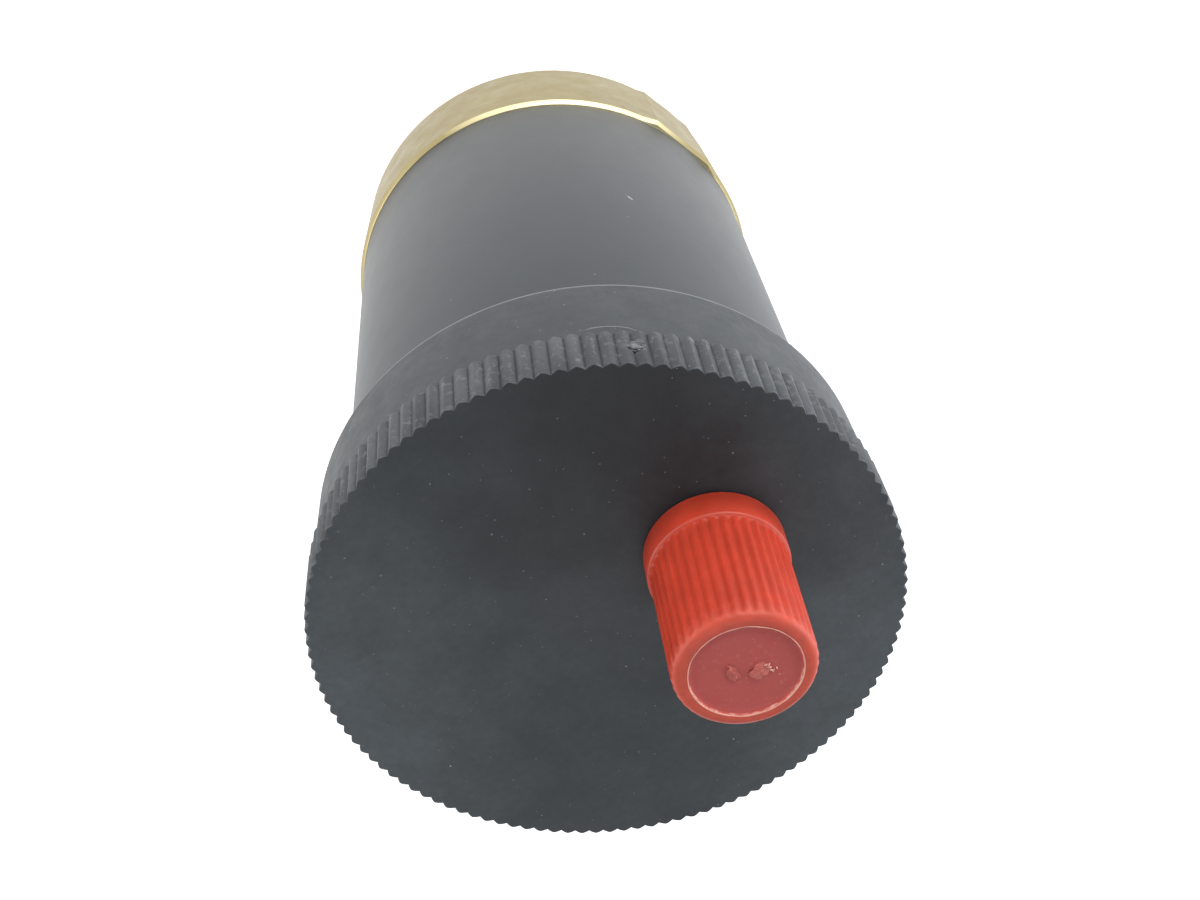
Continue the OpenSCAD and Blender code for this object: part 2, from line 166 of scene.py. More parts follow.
def makeFineGrain():
    tree, source, sink = newGroup(
        "fineGrain",
        [("Vector", "NodeSocketVector", None), ("Scale", "NodeSocketFloat", 3000.0),
         ("Pits", "NodeSocketFloat", 0.3)],
        ["Height"],
    )
    fine = put(tree, "TexNoise", {"Vector": source["Vector"], "Scale": source["Scale"], "Detail": 3.0})
    coarseScale = mathOut(tree, "MULTIPLY", source["Scale"], 0.22)
    coarse = put(tree, "TexVoronoi", {"Vector": source["Vector"], "Scale": coarseScale})
    pit = rangeOut(tree, coarse.outputs["Distance"], 0.1, 0.45, -1.0, 0.0)
    sunk = mathOut(tree, "MULTIPLY", pit, source["Pits"])
    tree.links.new(mathOut(tree, "ADD", fine.outputs["Fac"], sunk), sink["Height"])
    return tree


def makeMottle():
    tree, source, sink = newGroup(
        "mottle",
        [("Vector", "NodeSocketVector", None), ("Scale", "NodeSocketFloat", 200.0),
         ("Low", "NodeSocketFloat", 0.0), ("High", "NodeSocketFloat", 1.0)],
        ["Value"],
    )
    wires = {"Vector": source["Vector"], "Scale": source["Scale"], "Detail": 5.0, "Roughness": 0.62}
    cloud = put(tree, "TexNoise", wires)
    value = rangeOut(tree, cloud.outputs["Fac"], 0.3, 0.7, source["Low"], source["High"])
    tree.links.new(value, sink["Value"])
    return tree


def makeDustSpecks():
    tree, source, sink = newGroup(
        "dustSpecks",
        [("Vector", "NodeSocketVector", None), ("Scale", "NodeSocketFloat", 500.0),
         ("Size", "NodeSocketFloat", 0.1), ("Kept", "NodeSocketFloat", 0.2)],
        ["Mask"],
    )
    warp = put(tree, "TexNoise", {"Vector": source["Vector"], "Scale": 2200.0, "Detail": 2.0})
    cells = put(tree, "TexVoronoi", {"Vector": source["Vector"], "Scale": source["Scale"]})
    ragged = mathOut(tree, "MULTIPLY", warp.outputs["Fac"], 0.12)
    distance = mathOut(tree, "ADD", cells.outputs["Distance"], ragged)
    reach = mathOut(tree, "ADD", source["Size"], 0.06)
    spot = mathOut(tree, "LESS_THAN", distance, reach)
    pick = put(tree, "SeparateColor", {"Color": cells.outputs["Color"]})
    kept = mathOut(tree, "LESS_THAN", pick.outputs[0], source["Kept"])
    tree.links.new(mathOut(tree, "MULTIPLY", spot, kept), sink["Mask"])
    return tree


def makeScratches():
    tree, source, sink = newGroup(
        "scratches",
        [("Vector", "NodeSocketVector", None), ("Stretch", "NodeSocketVector", (900.0, 900.0, 60.0)),
         ("Turn", "NodeSocketVector", (0.0, 0.0, 0.0)), ("Width", "NodeSocketFloat", 0.05),
         ("Kept", "NodeSocketFloat", 0.2)],
        ["Mask"],
    )
    # cells drawn out into needles, of which a few are kept
    turned = put(tree, "Mapping", {"Vector": source["Vector"], "Rotation": source["Turn"]}).outputs["Vector"]
    drawn = put(tree, "VectorMath", {0: turned, 1: source["Stretch"]}, operation="MULTIPLY").outputs["Vector"]
    cells = put(tree, "TexVoronoi", {"Vector": drawn, "Scale": 1.0})
    thin = mathOut(tree, "LESS_THAN", cells.outputs["Distance"], source["Width"])
    pick = put(tree, "SeparateColor", {"Color": cells.outputs["Color"]})
    kept = mathOut(tree, "LESS_THAN", pick.outputs[0], source["Kept"])
    faint = rangeOut(tree, pick.outputs[1], 0.0, 1.0, 0.25, 1.0)
    mask = mathOut(tree, "MULTIPLY", mathOut(tree, "MULTIPLY", thin, kept), faint)
    tree.links.new(mask, sink["Mask"])
    return tree


fineGrain = makeFineGrain()
mottle = makeMottle()
dustSpecks = makeDustSpecks()
scratches = makeScratches()
print("effects made")


# materials

def newMaterial(name, constants):
    material = bpy.data.materials.new(name)
    material.use_nodes = True
    tree = material.node_tree
    shader = tree.nodes["Principled BSDF"]
    for label, value in constants.items():
        shader.inputs[label].default_value = value
    where = put(tree, "TexCoord").outputs["Object"]
    return material, tree, shader, where


def setBump(tree, shader, height, strength, distance):
    wires = {"Height": height, "Strength": strength, "Distance": distance}
    bump = put(tree, "Bump", wires)
    tree.links.new(bump.outputs["Normal"], shader.inputs["Normal"])


coverFinish = {
    "side": (0.048, 0.0525, 0.058, 1),
    "knurl": (0.063, 0.068, 0.0745, 1),
    "face": (0.032, 0.037, 0.041, 1),
    # rub: rubbed spots, and also the painted highlight on the skirt's lower rim
    "rub": (0.21, 0.215, 0.225, 1),
    "across": (0.759, -0.651, 0.0),
    "along": (0.70, 0.714, 0.0),
    "scar": (16.56, 16.39, 75.55),
    "dust": (0.42, 0.42, 0.41, 1),
    "specks": ((1000.0, 0.07, 0.9, 0.16), (640.0, 0.04, 0.8, 0.4), (300.0, 0.02, 0.6, 0.7)),
    "knurlLow": 73.3,
    "tipR": 23.5,
    "constants": {"Specular IOR Level": 0.25},
}


def makeCoverPlastic():
    finish = coverFinish
    material, tree, shader, where = newMaterial("coverPlastic", finish["constants"])
    parts = put(tree, "SeparateXYZ", {"Vector": where}).outputs
    height = parts["Z"]
    flat = put(tree, "CombineXYZ", {"X": parts["X"], "Y": parts["Y"]}).outputs["Vector"]
    radius = put(tree, "VectorMath", {0: flat}, operation="LENGTH").outputs["Value"]
    onFace = rangeOut(tree, height, (faceZ - 0.07) * mm, (faceZ - 0.01) * mm)
    onKnurl = bandOut(tree, height, finish["knurlLow"] * mm, (faceZ - 0.03) * mm, 0.02 * mm)
    body = mixOut(tree, onKnurl, finish["side"], finish["knurl"])
    # painted light and shade on the face: its colour is painted lighter away from a middle line towards both sides, and
    # painted darker towards one side along that line, with the borders warped by noise
    drift = put(tree, "TexNoise", {"Vector": where, "Scale": 110.0, "Detail": 4.0}).outputs["Fac"]
    shift = rangeOut(tree, drift, 0.25, 0.75, -3.0 * mm, 3.0 * mm)
    beside = put(tree, "VectorMath", {0: where, 1: finish["across"]}, operation="DOT_PRODUCT").outputs["Value"]
    beside = mathOut(tree, "ABSOLUTE", beside)
    paintedSideLight = rangeOut(tree, mathOut(tree, "ADD", beside, shift), 5.0 * mm, 21.0 * mm, 1.4, 2.35)
    ahead = put(tree, "VectorMath", {0: where, 1: finish["along"]}, operation="DOT_PRODUCT").outputs["Value"]
    paintedShadeAhead = rangeOut(tree, mathOut(tree, "SUBTRACT", ahead, shift), 3.0 * mm, 16.0 * mm, 0.0, 0.85)
    paintedShading = mathOut(tree, "SUBTRACT", paintedSideLight, paintedShadeAhead)
    face = put(tree, "VectorMath", {0: finish["face"][:3], "Scale": paintedShading}, operation="SCALE").outputs["Vector"]
    body = mixOut(tree, onFace, body, face)
    cloud = useGroup(tree, mottle, {"Vector": where, "Scale": 260.0, "Low": 0.84, "High": 1.2})["Value"]
    haze = useGroup(tree, mottle, {"Vector": where, "Scale": 1300.0, "Low": 0.9, "High": 1.1})["Value"]
    cloud = mathOut(tree, "MULTIPLY", cloud, haze)
    body = put(tree, "VectorMath", {0: body, "Scale": cloud}, operation="SCALE").outputs["Vector"]
    # ridges differ a little from one to the next and are rubbed pale in spots
    drawn = put(tree, "VectorMath", {0: where, 1: (1.0, 1.0, 0.12)}, operation="MULTIPLY").outputs["Vector"]
    ridge = put(tree, "TexNoise", {"Vector": drawn, "Scale": 620.0, "Detail": 1.0}).outputs["Fac"]
    shade = rangeOut(tree, ridge, 0.3, 0.7, 0.7, 1.35)
    varied = put(tree, "VectorMath", {0: body, "Scale": shade}, operation="SCALE").outputs["Vector"]
    body = mixOut(tree, onKnurl, body, varied)
    # darker along the grooves, darkest where they end
    sunk = rangeOut(tree, radius, (finish["tipR"] - 0.34) * mm, (finish["tipR"] - 0.23) * mm, 1.0, 0.0)
    ends = rangeOut(tree, height, finish["knurlLow"] * mm, (finish["knurlLow"] + 0.5) * mm, 0.85, 0.45)
    grooveDarkening = mathOut(tree, "MULTIPLY", mathOut(tree, "MULTIPLY", sunk, ends), onKnurl)
    body = mixOut(tree, grooveDarkening, body, (0.012, 0.012, 0.012, 1))
    # rubbed pale spots on the ridges and along the face's lip, and a painted highlight along the skirt's rounded lower
    # rim, all in the rub colour
    rubNoise = put(tree, "TexNoise", {"Vector": where, "Scale": 1500.0, "Detail": 5.0, "Roughness": 0.7}).outputs["Fac"]
    rub = mathOut(tree, "MULTIPLY", rangeOut(tree, rubNoise, 0.53, 0.72, 0.0, 0.65), onKnurl)
    lipSoft = rangeOut(tree, rubNoise, 0.45, 0.65, 0.0, 0.5)
    lip = mathOut(tree, "MULTIPLY", bandOut(tree, height, (faceZ - 0.16) * mm, (faceZ - 0.03) * mm, 0.03 * mm), lipSoft)
    rimHighlight = mathOut(tree, "MULTIPLY", bandOut(tree, height, (edgeZ - 0.1) * mm, (edgeZ + 0.4) * mm, 0.04 * mm), 0.75)
    pale = mathOut(tree, "MAXIMUM", mathOut(tree, "MAXIMUM", rub, lip), rimHighlight)
    # torn crumbs where the gate was broken off
    gate = tuple(Vector(finish["scar"]) * mm)
    away = put(tree, "VectorMath", {0: where, 1: gate}, operation="DISTANCE").outputs["Value"]
    torn = mathOut(
        tree, "MULTIPLY", rangeOut(tree, away, 0.5 * mm, 1.1 * mm, 1.0, 0.0), rangeOut(tree, rubNoise, 0.42, 0.6))
    pale = mathOut(tree, "MAXIMUM", pale, torn)
    body = mixOut(tree, pale, body, finish["rub"])
    lines = useGroup(tree, scratches, {
        "Vector": where, "Stretch": (900.0, 160.0, 900.0), "Turn": (0.0, 0.0, 0.9), "Width": 0.06, "Kept": 0.05})["Mask"]
    body = mixOut(tree, mathOut(tree, "MULTIPLY", lines, 0.35), body, finish["dust"])
    for scale, size, kept, strength in finish["specks"]:
        specks = useGroup(tree, dustSpecks, {"Vector": where, "Scale": scale, "Size": size, "Kept": kept})["Mask"]
        body = mixOut(tree, mathOut(tree, "MULTIPLY", specks, strength), body, finish["dust"])
    tree.links.new(body, shader.inputs["Base Color"])
    rough = useGroup(tree, mottle, {"Vector": where, "Scale": 520.0, "Low": 0.44, "High": 0.6})["Value"]
    tree.links.new(rough, shader.inputs["Roughness"])
    grain = useGroup(tree, fineGrain, {"Vector": where, "Scale": 3200.0, "Pits": 0.35})["Height"]
    setBump(tree, shader, grain, 0.35, 0.00003)
    return material


housingFinish = {
    "base": (0.032, 0.037, 0.043, 1),
    "scratch": (0.22, 0.22, 0.22, 1),
    "scuff": (0.42, 0.42, 0.42, 1),
    "scuffFrom": (16.87, 12.17, 42.84),
    "scuffTo": (17.23, 11.66, 43.85),
    "constants": {"Specular IOR Level": 0.42},
}


def makeHousingPlastic():
    finish = housingFinish
    material, tree, shader, where = newMaterial("housingPlastic", finish["constants"])
    cloud = useGroup(tree, mottle, {"Vector": where, "Scale": 90.0, "Low": 0.97, "High": 1.03})["Value"]
    shade = put(tree, "VectorMath", {0: finish["base"][:3], "Scale": cloud}, operation="SCALE").outputs["Vector"]
    lines = useGroup(tree, scratches, {
        "Vector": where, "Stretch": (800.0, 800.0, 170.0), "Turn": (0.5, 0.3, 0.0), "Width": 0.05, "Kept": 0.07})["Mask"]
    worn = mixOut(tree, mathOut(tree, "MULTIPLY", lines, 0.45), shade, finish["scratch"])
    specks = useGroup(tree, dustSpecks, {"Vector": where, "Scale": 380.0, "Size": 0.03, "Kept": 0.35})["Mask"]
    worn = mixOut(tree, mathOut(tree, "MULTIPLY", specks, 0.5), worn, finish["scuff"])
    # one short white scuff, measured along a line between two points
    start = Vector(finish["scuffFrom"]) * mm
    along = Vector(finish["scuffTo"]) * mm - start
    offset = put(tree, "VectorMath", {0: where, 1: start}, operation="SUBTRACT").outputs["Vector"]
    reach = put(tree, "VectorMath", {0: offset, 1: along.normalized()}, operation="DOT_PRODUCT").outputs["Value"]
    foot = put(tree, "VectorMath", {0: tuple(along.normalized()), "Scale": reach}, operation="SCALE").outputs["Vector"]
    beside = put(tree, "VectorMath", {0: offset, 1: foot}, operation="DISTANCE").outputs["Value"]
    fray = put(tree, "TexNoise", {"Vector": where, "Scale": 2600.0, "Detail": 3.0}).outputs["Fac"]
    width = rangeOut(tree, fray, 0.35, 0.65, 0.0, 0.16 * mm)
    scuffWide = mathOut(tree, "LESS_THAN", beside, width)
    scuffLong = bandOut(tree, reach, 0.0, along.length, 0.1 * mm)
    scuff = mathOut(tree, "MULTIPLY", scuffWide, scuffLong)
    tree.links.new(mixOut(tree, scuff, worn, finish["scuff"]), shader.inputs["Base Color"])
    rough = useGroup(tree, mottle, {"Vector": where, "Scale": 340.0, "Low": 0.36, "High": 0.39})["Value"]
    tree.links.new(rough, shader.inputs["Roughness"])
    grain = useGroup(tree, fineGrain, {"Vector": where, "Scale": 4200.0, "Pits": 0.2})["Height"]
    setBump(tree, shader, grain, 0.3, 0.00002)
    return material


brassFinish = {
    # turned: bright brass in the scratches, and painted on the chamfer as a glint
    "turned": (0.76, 0.67, 0.39, 1),
    "forged": (0.342, 0.283, 0.142, 1),
    "dull": (0.26, 0.21, 0.098, 1),
    "glintSide": (0.707, 0.707, 0.0),
    "constants": {"Metallic": 1.0},
}


def makeBrass():
    finish = brassFinish
    material, tree, shader, where = newMaterial("satinBrass", finish["constants"])
    parts = put(tree, "SeparateXYZ", {"Vector": where}).outputs
    # painted glint: the turned chamfer under the housing is painted bright on two opposite sides, where it would glint,
    # and keeps a tenth of that colour all round
    sideways = put(tree, "VectorMath", {0: where, 1: finish["glintSide"]}, operation="DOT_PRODUCT").outputs["Value"]
    rubbed = rangeOut(tree, mathOut(tree, "ABSOLUTE", sideways), 16.5 * mm, 19.0 * mm, 0.1, 1.0)
    chamferGlint = mathOut(tree, "MULTIPLY", rangeOut(tree, parts["Z"], (ledgeZ - 0.54) * mm, (ledgeZ - 0.46) * mm), rubbed)
    cloud = useGroup(tree, mottle, {"Vector": where, "Scale": 240.0, "Low": 0.0, "High": 0.55})["Value"]
    forged = mixOut(tree, cloud, finish["forged"], finish["dull"])
    lines = useGroup(tree, scratches, {
        "Vector": where, "Stretch": (130.0, 130.0, 1300.0), "Turn": (0.1, 0.05, 0.0), "Width": 0.1, "Kept": 0.2})["Mask"]
    worn = mixOut(tree, mathOut(tree, "MULTIPLY", lines, 0.35), forged, finish["turned"])
    tree.links.new(mixOut(tree, chamferGlint, worn, finish["turned"]), shader.inputs["Base Color"])
    rough = useGroup(tree, mottle, {"Vector": where, "Scale": 420.0, "Low": 0.32, "High": 0.48})["Value"]
    tree.links.new(rough, shader.inputs["Roughness"])
    grain = useGroup(tree, fineGrain, {"Vector": where, "Scale": 2200.0, "Pits": 0.25})["Height"]
    setBump(tree, shader, grain, 0.22, 0.00003)
    return material


capFinish = {
    "side": (0.50, 0.047, 0.021, 1),
    # tip: scuffed flute ends, with a painted highlight
    "tip": (0.62, 0.098, 0.062, 1),
    "disc": (0.52, 0.092, 0.083, 1),
    "pale": (0.70, 0.27, 0.22, 1),
    "ring": (0.86, 0.50, 0.40, 1),
    "constants": {
        "Specular IOR Level": 0.3,
        "Subsurface Weight": 0.3,
        "Subsurface Radius": (0.9, 0.18, 0.1),
        "Subsurface Scale": 0.0009,
    },
}


def makeRedPlastic():
    finish = capFinish
    material, tree, shader, where = newMaterial("redPlastic", finish["constants"])
    topZ = capHigh.z
    centred = put(tree, "Mapping", {"Vector": where, "Location": (-ventX * mm, 0.0, 0.0)}).outputs["Vector"]
    parts = put(tree, "SeparateXYZ", {"Vector": centred}).outputs
    flat = put(tree, "CombineXYZ", {"X": parts["X"], "Y": parts["Y"]}).outputs["Vector"]
    radius = put(tree, "VectorMath", {0: flat}, operation="LENGTH").outputs["Value"]
    fray = put(tree, "TexNoise", {"Vector": where, "Scale": 1500.0, "Detail": 4.0}).outputs["Fac"]
    # the ends of the flutes near the tip are paler: scuffed, and a painted highlight on the rounding; ragged along the
    # lower edge
    ragged = rangeOut(tree, fray, 0.3, 0.7, -0.45 * mm, 0.45 * mm)
    height = mathOut(tree, "ADD", parts["Z"], ragged)
    tipScuffAndHighlight = rangeOut(tree, height, (topZ - 1.5) * mm, (topZ - 0.35) * mm, 0.0, 0.8)
    cloud = useGroup(tree, mottle, {"Vector": where, "Scale": 420.0, "Low": 0.86, "High": 1.14})["Value"]
    # painted shade: the collar is darker towards the face it stands on
    paintedCollarShade = rangeOut(tree, parts["Z"], (capLow.z + 0.6) * mm, (capLow.z + 2.7) * mm, 0.72, 1.0)
    shade = mathOut(tree, "MULTIPLY", cloud, paintedCollarShade)
    body = mixOut(tree, tipScuffAndHighlight, finish["side"], finish["tip"])
    body = put(tree, "VectorMath", {0: body, "Scale": shade}, operation="SCALE").outputs["Vector"]
    # the sunk disc with its pale flecks and the ragged ring round it
    onTop = rangeOut(tree, parts["Z"], (topZ - 0.4) * mm, (topZ - 0.3) * mm)
    inDisc = mathOut(tree, "MULTIPLY", onTop, rangeOut(tree, radius, 3.95 * mm, 4.02 * mm, 1.0, 0.0))
    flecks = put(tree, "TexNoise", {"Vector": where, "Scale": 2400.0, "Detail": 4.0, "Roughness": 0.7}).outputs["Fac"]
    fleck = rangeOut(tree, flecks, 0.56, 0.7, 0.0, 0.3)
    body = mixOut(tree, inDisc, body, mixOut(tree, fleck, finish["disc"], finish["pale"]))
    wander = mathOut(tree, "ADD", radius, rangeOut(tree, fray, 0.3, 0.7, -0.05 * mm, 0.05 * mm))
    ring = mathOut(tree, "MULTIPLY", bandOut(tree, wander, 4.0 * mm, 4.06 * mm, 0.02 * mm), onTop)
    broken = rangeOut(tree, flecks, 0.4, 0.6, 0.25, 0.9)
    body = mixOut(tree, mathOut(tree, "MULTIPLY", ring, broken), body, finish["ring"])
    # a faint painted highlight along the collar's upper edge, and rubbed spots
    edge = bandOut(tree, parts["Z"], (capLow.z + 2.6) * mm, (capLow.z + 2.7) * mm, 0.03 * mm)
    body = mixOut(tree, mathOut(tree, "MULTIPLY", edge, 0.22), body, finish["pale"])
    specks = useGroup(tree, dustSpecks, {"Vector": where, "Scale": 800.0, "Size": 0.07, "Kept": 0.07})["Mask"]
    body = mixOut(tree, mathOut(tree, "MULTIPLY", specks, 0.35), body, finish["pale"])
    tree.links.new(body, shader.inputs["Base Color"])
    rough = useGroup(tree, mottle, {"Vector": where, "Scale": 700.0, "Low": 0.38, "High": 0.55})["Value"]
    tree.links.new(rough, shader.inputs["Roughness"])
    grain = useGroup(tree, fineGrain, {"Vector": where, "Scale": 2600.0, "Pits": 0.3})["Height"]
    setBump(tree, shader, grain, 0.3, 0.00004)
    return material


def makePlain(name, low, high, roughLow, roughHigh, constants, grainScale=2600.0, bump=0.3):
    # a finish of two shades that drift into each other, with a fine grain
    material, tree, shader, where = newMaterial(name, constants)
    cloud = useGroup(tree, mottle, {"Vector": where, "Scale": 300.0})["Value"]
    tree.links.new(mixOut(tree, cloud, low, high), shader.inputs["Base Color"])
    rough = useGroup(tree, mottle, {"Vector": where, "Scale": 560.0, "Low": roughLow, "High": roughHigh})["Value"]
    tree.links.new(rough, shader.inputs["Roughness"])
    grain = useGroup(tree, fineGrain, {"Vector": where, "Scale": grainScale, "Pits": 0.2})["Height"]
    setBump(tree, shader, grain, bump, 0.00002)
    return material


finishes = {
    "brass": makeBrass(),
    "housing_plastic": makeHousingPlastic(),
    "cover_plastic": makeCoverPlastic(),
    "red_plastic": makeRedPlastic(),
    "rubber": makePlain(
        "blackRubber", (0.014, 0.014, 0.014, 1), (0.026, 0.025, 0.024, 1), 0.62, 0.8, {}, bump=0.4),
    "stamped_steel": makePlain(
        "stampedSteel", (0.50, 0.50, 0.49, 1), (0.64, 0.63, 0.61, 1), 0.3, 0.46, {"Metallic": 1.0}),
    "pin_steel": makePlain(
        "drawnSteel", (0.56, 0.56, 0.56, 1), (0.68, 0.67, 0.66, 1), 0.18, 0.3, {"Metallic": 1.0}, bump=0.15),
    "lever_plastic": makePlain(
        "ivoryPlastic", (0.70, 0.67, 0.58, 1), (0.78, 0.76, 0.68, 1), 0.42, 0.55,
        {"Subsurface Weight": 0.2, "Subsurface Radius": (0.6, 0.5, 0.35), "Subsurface Scale": 0.001}),
    "float_plastic": makePlain(
        "milkyPlastic", (0.68, 0.69, 0.68, 1), (0.77, 0.77, 0.75, 1), 0.36, 0.5,
        {"Subsurface Weight": 0.4, "Subsurface Radius": (1.0, 0.9, 0.8), "Subsurface Scale": 0.0015}),
}
for row in frame["record"]["subparts"]:
    mesh = frame["nodes"][row["node"]].data
    mesh.materials.clear()
    mesh.materials.append(finishes[row["material_slot"]])
print("finishes made:", len(finishes))


# mesh helpers

def addRow(bm, rows, segments, flutes=1, valley=None):
    # rows of radius, height and flute depth, each grown from the last, closed at both ends
    ring = bmesh.ops.create_circle(bm, segments=segments, radius=1.0)["verts"]
    edges = list({edge for vert in ring for edge in vert.link_edges})
    firstEdges = edges
    for number, (radius, height, depth) in enumerate(rows):
        if number:
            grown = bmesh.ops.extrude_edge_only(bm, edges=edges)["geom"]
            ring = [item for item in grown if isinstance(item, bmesh.types.BMVert)]
            inRing = set(ring)
            edges = [
                item for item in grown
                if isinstance(item, bmesh.types.BMEdge) and inRing.issuperset(item.verts)
            ]
        for vert in ring:
            turn = math.atan2(vert.co.y, vert.co.x)
            cut = depth * valley((turn / math.tau * flutes) % 1.0) if depth else 0.0
            vert.co = ((radius - cut) * math.cos(turn), (radius - cut) * math.sin(turn), height)
    bmesh.ops.edgeloop_fill(bm, edges=firstEdges)
    bmesh.ops.edgeloop_fill(bm, edges=edges)


def spinProfile(bm, corners, steps=192, segments=4):
    # corners of radius, height and rounding, joined into a loop and turned about Z
    verts = [bm.verts.new((radius, 0, height)) for radius, height, rounding in corners]
    for number, vert in enumerate(verts):
        bm.edges.new((verts[number - 1], vert))
    for size in sorted({corner[2] for corner in corners if corner[2]}):
        picked = [vert for vert, corner in zip(verts, corners) if corner[2] == size]
        bmesh.ops.bevel(
            bm, geom=picked, offset=size, offset_type="OFFSET", segments=segments, profile=0.5,
            affect="VERTICES", material=-1)
    bmesh.ops.spin(
        bm, geom=bm.verts[:] + bm.edges[:], cent=(0, 0, 0), axis=(0, 0, 1), angle=math.tau,
        steps=steps, use_merge=True, use_duplicate=False)
    bmesh.ops.remove_doubles(bm, verts=bm.verts, dist=0.0002)
    bmesh.ops.recalc_face_normals(bm, faces=bm.faces)


def addThread(bm, rootR, crestR, pitch, lowZ, highZ, stepsPerTurn=48):
    # a ridge of trapezium section wound up a core, run out at both ends
    steps = round((highZ - lowZ) / pitch * stepsPerTurn)
    sunkR = rootR - 0.06
    section = [(sunkR, -0.44), (crestR, -0.09), (crestR, 0.09), (sunkR, 0.44)]
    verts = [bm.verts.new((radius, 0, lowZ + share * pitch)) for radius, share in section]
    loop = [bm.edges.new((verts[number - 1], vert)) for number, vert in enumerate(verts)]
    bmesh.ops.spin(
        bm, geom=verts + loop, cent=(0, 0, 0), axis=(0, 0, 1), angle=math.tau * (highZ - lowZ) / pitch,
        steps=steps, dvec=(0, 0, (highZ - lowZ) / steps), use_merge=False, use_duplicate=False)
    ends = [edge for edge in bm.edges if edge.is_boundary]
    bmesh.ops.holes_fill(bm, edges=ends)
    total = (highZ - lowZ) / pitch
    for vert in bm.verts:
        radius = math.hypot(vert.co.x, vert.co.y)
        part = math.atan2(vert.co.y, vert.co.x) / math.tau % 1.0
        turns = part + round((vert.co.z - lowZ) / pitch - part)
        kept = min(1.0, max(0.0, min(turns, total - turns) / 0.35))
        wanted = sunkR + (radius - sunkR) * kept
        vert.co.x *= wanted / radius
        vert.co.y *= wanted / radius


def sharpen(mesh, angle):
    bm = bmesh.new()
    bm.from_mesh(mesh)
    bmesh.ops.remove_doubles(bm, verts=bm.verts, dist=0.0002 * mm)
    bmesh.ops.recalc_face_normals(bm, faces=bm.faces)
    for face in bm.faces:
        face.smooth = True
    for edge in bm.edges:
        edge.smooth = len(edge.link_faces) == 2 and edge.calc_face_angle() < math.radians(angle)
    bm.to_mesh(mesh)
    bm.free()


def newObject(bm, name):
    bmesh.ops.scale(bm, vec=(mm, mm, mm), verts=bm.verts)
    mesh = bpy.data.meshes.new(name)
    bm.to_mesh(mesh)
    bm.free()
    piece = bpy.data.objects.new(name, mesh)
    scene.collection.objects.link(piece)
    return piece


def cutAway(piece, cutters, operation="DIFFERENCE"):
    for cutter in cutters:
        cut = piece.modifiers.new("cut", "BOOLEAN")
        cut.operation = operation
        cut.solver = "EXACT"
        cut.object = cutter
    bpy.context.view_layer.update()
    cutMesh = bpy.data.meshes.new_from_object(piece.evaluated_get(bpy.context.evaluated_depsgraph_get()))
    piece.modifiers.clear()
    oldMesh = piece.data
    piece.data = cutMesh
    bpy.data.meshes.remove(oldMesh)
    piece.data.name = piece.name


def finishPiece(piece, body, slotName, nodes=(), angle=32, material=None):
    sharpen(piece.data, angle)
    piece.data.materials.clear()
    piece.data.materials.append(material or finishes[slotName])
    if body:
        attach(piece, body)
    if nodes:
        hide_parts(*nodes)
    print("piece:", piece.name, len(piece.data.polygons), "faces")
    return piece


# brass foot

footShape = {
    "boreR": 6.0,
    "threadR": 8.33,
    "threadRootR": 7.52,
    "threadPitch": 1.337,
    "collarLow": 10.5,
    "recessR": 9.23,
    "recessTop": 11.1,
    "footR": 20.2,
    "collarR": 20.9,
    "bevelR": 20.6,
    "bevelHeight": 0.5,
    "neckR": 18.35,
    "neckTop": 29.7,
    "grooveR": 16.9,
    "grooveLow": 23.3,
    "grooveHigh": 25.3,
    "cupR": 15.75,
    "flatTurn": 9.0,
    "lugRamp": 22.0,
    "lugRows": ((0.2, 20.1, 3.1), (10.7, 20.87, 3.58), (11.19, 20.57, 3.53)),
    "lugInner": 18.5,
}


def makeLug(shape, side):
    # rows of height above the collar's foot, distance and half width of the flat, with a ramp on either side
    bm = bmesh.new()
    slope = 1 / math.tan(math.radians(shape["lugRamp"]))
    inner = shape["lugInner"]
    ring, edges = None, None
    for height, reach, half in shape["lugRows"]:
        base = half + (reach - inner) * slope
        places = [(inner, -base), (reach, -half), (reach, half), (inner, base)]
        if ring is None:
            ring = [bm.verts.new((x, y, shape["collarLow"] + height)) for x, y in places]
            edges = [bm.edges.new((ring[number - 1], vert)) for number, vert in enumerate(ring)]
            bm.faces.new(ring)
            continue
        grown = bmesh.ops.extrude_edge_only(bm, edges=edges)["geom"]
        edges = [item for item in grown if isinstance(item, bmesh.types.BMEdge) and item.is_boundary]
        fresh = [item for item in grown if isinstance(item, bmesh.types.BMVert)]
        ring = [min(fresh, key=lambda vert: (vert.co - old.co).length) for old in ring]
        for vert, (x, y) in zip(ring, places):
            vert.co = (x, y, shape["collarLow"] + height)
    bm.faces.new(ring)
    bmesh.ops.recalc_face_normals(bm, faces=bm.faces)
    spin = Matrix.Rotation(math.radians(shape["flatTurn"] + side), 3, "Z")
    bmesh.ops.rotate(bm, cent=(0, 0, 0), matrix=spin, verts=bm.verts)
    return newObject(bm, "wrenchLug")


